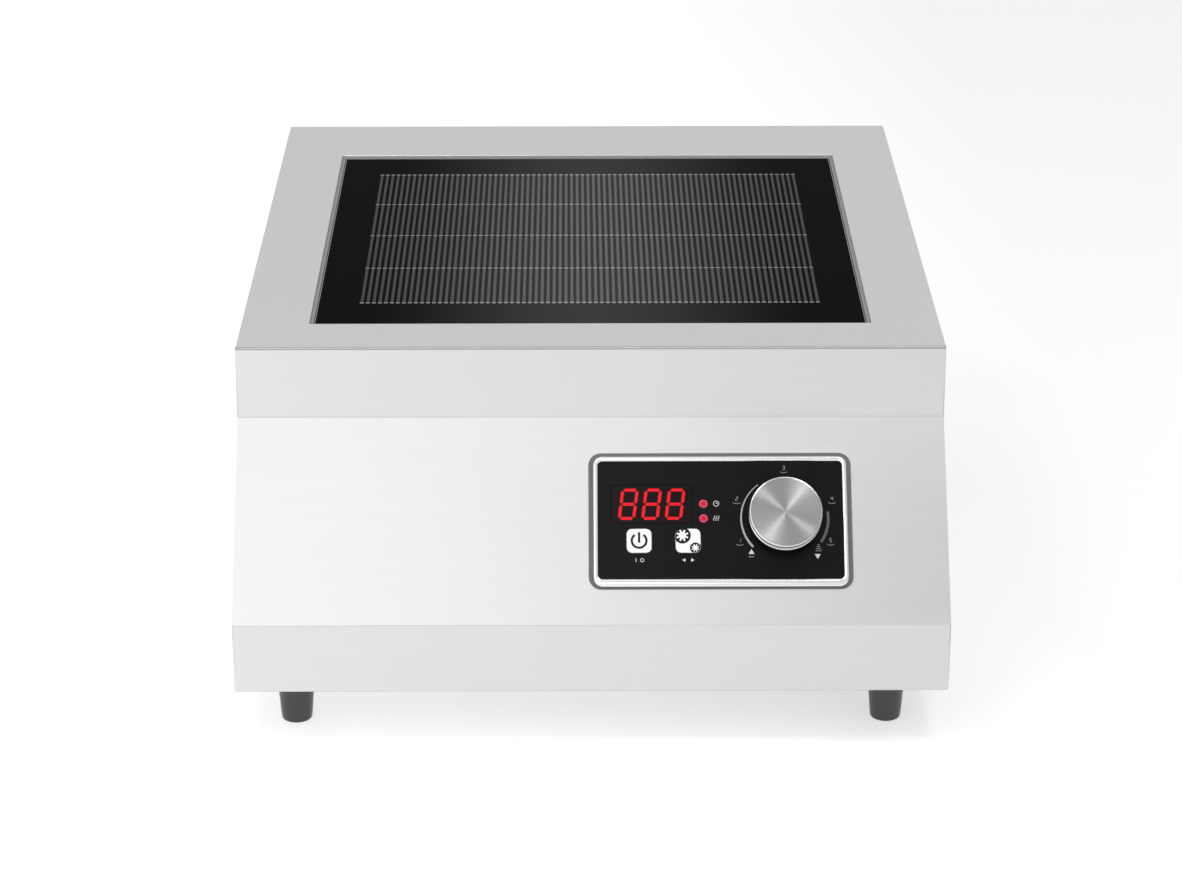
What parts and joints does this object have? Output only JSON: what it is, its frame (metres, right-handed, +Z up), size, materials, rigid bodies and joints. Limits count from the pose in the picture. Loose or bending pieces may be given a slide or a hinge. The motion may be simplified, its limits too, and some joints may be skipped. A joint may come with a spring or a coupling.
{
  "type": "induction hob",
  "caption": "Countertop induction hob: folded stainless casing with a sloped control panel and rotary knob, square black ceramic glass plate and rubber feet.",
  "frame": {"origin": "on the worktop, under the middle of the bounding box, gland included", "axes": "+X to the cook's right, +Y to the back, +Z up; the sloping control panel faces -Y"},
  "size_m": [0.35, 0.462, 0.182],
  "materials": {
    "casing_steel": "fine brushed stainless sheet, 1.2 mm",
    "base_steel": "galvanised sheet, satin",
    "frame_steel": "folded stainless ledge",
    "fastener_zinc": "bright zinc plate",
    "foot_rubber": "moulded rubber, satin",
    "gland_nylon": "black nylon",
    "ceramic_glass": "black ceramic glass, polished, with a grey printed grid",
    "seal_silicone": "grey silicone sealant",
    "mica": "pressed mica sheet",
    "copper_winding": "enamelled copper litz",
    "phenolic": "moulded phenolic",
    "ferrite": "sintered ferrite",
    "sensor_ceramic": "white ceramic holder",
    "bare_aluminium": "mill finish",
    "circuit_board": "glass-epoxy board with solder mask",
    "black_plastic": "moulded, satin",
    "capacitor_epoxy": "epoxy coat",
    "grey_plastic": "moulded, satin",
    "fan_plastic": "glass-filled plastic",
    "bezel_chrome": "polished plate",
    "overlay_gloss": "black overlay, back printed",
    "display_face": "smoked window over red segments",
    "lamp_red": "red diffused lens",
    "key_white": "white moulded key with a black symbol",
    "encoder_metal": "nickel plate",
    "encoder_brass": "machined brass",
    "knob_black": "moulded, satin",
    "knob_aluminium": "spun face with fine concentric turning"
  },
  "bodies": {
    "casing": {"outer_shell": "casing_steel", "rear_panel": "casing_steel", "base_plate": "base_steel", "glass_frame": "frame_steel", "rear_screw_1": "fastener_zinc", "rear_screw_2": "fastener_zinc", "rear_screw_3": "fastener_zinc", "rear_screw_4": "fastener_zinc", "foot_screw_front_left": "fastener_zinc", "foot_screw_front_right": "fastener_zinc", "foot_screw_rear_left": "fastener_zinc", "foot_screw_rear_right": "fastener_zinc", "foot_front_left": "foot_rubber", "foot_front_right": "foot_rubber", "foot_rear_left": "foot_rubber", "foot_rear_right": "foot_rubber", "gland_body": "gland_nylon", "gland_nut": "gland_nylon", "gland_locknut": "gland_nylon", "glass_plate": "ceramic_glass", "glass_seal": "seal_silicone", "mica_disc": "mica", "induction_coil": "copper_winding", "choke": "copper_winding", "coil_carrier": "phenolic", "ferrite_bar_1": "ferrite", "ferrite_bar_2": "ferrite", "ferrite_bar_3": "ferrite", "ferrite_bar_4": "ferrite", "temperature_sensor": "sensor_ceramic", "coil_shield": "bare_aluminium", "heatsink": "bare_aluminium", "power_board": "circuit_board", "control_board": "circuit_board", "igbt": "black_plastic", "bridge_rectifier": "black_plastic", "control_housing": "black_plastic", "resonant_capacitor": "capacitor_epoxy", "filter_capacitor": "capacitor_epoxy", "terminal_block": "grey_plastic", "power_switch": "grey_plastic", "select_switch": "grey_plastic", "fan_frame_left": "fan_plastic", "fan_frame_right": "fan_plastic", "control_bezel": "bezel_chrome", "control_overlay": "overlay_gloss", "display_module": "display_face", "time_lamp": "lamp_red", "heat_lamp": "lamp_red", "encoder_body": "encoder_metal", "encoder_nut": "encoder_brass"},
    "control_knob": {"knob_cap": "knob_aluminium", "knob_hub": "knob_black", "encoder_shaft": "encoder_metal"},
    "power_button": {"power_key": "key_white", "power_plunger": "black_plastic"},
    "select_button": {"select_key": "key_white", "select_plunger": "black_plastic"},
    "left_fan": {"fan_rotor_left": "fan_plastic"},
    "right_fan": {"fan_rotor_right": "fan_plastic"}
  },
  "joints": [
    {"name": "knob_turn", "type": "hinge", "parent": "casing", "child": "control_knob", "pos_m": [0.0948, -0.20324, 0.10932], "axis": [0, 0.7721, -0.6355], "range_deg": [0, 270]},
    {"name": "power_key_press", "type": "slide", "parent": "casing", "child": "power_button", "axis": [0, 0.7721, -0.6355], "range_m": [0, 0.0006], "stiffness_N_per_m": 1500},
    {"name": "select_key_press", "type": "slide", "parent": "casing", "child": "select_button", "axis": [0, 0.7721, -0.6355], "range_m": [0, 0.0006], "stiffness_N_per_m": 1500},
    {"name": "left_fan_spin", "type": "hinge", "parent": "casing", "child": "left_fan", "pos_m": [-0.056, 0.118, 0.04], "axis": [0, 0, 1], "continuous": true},
    {"name": "right_fan_spin", "type": "hinge", "parent": "casing", "child": "right_fan", "pos_m": [0.056, 0.118, 0.04], "axis": [0, 0, 1], "continuous": true}
  ]
}
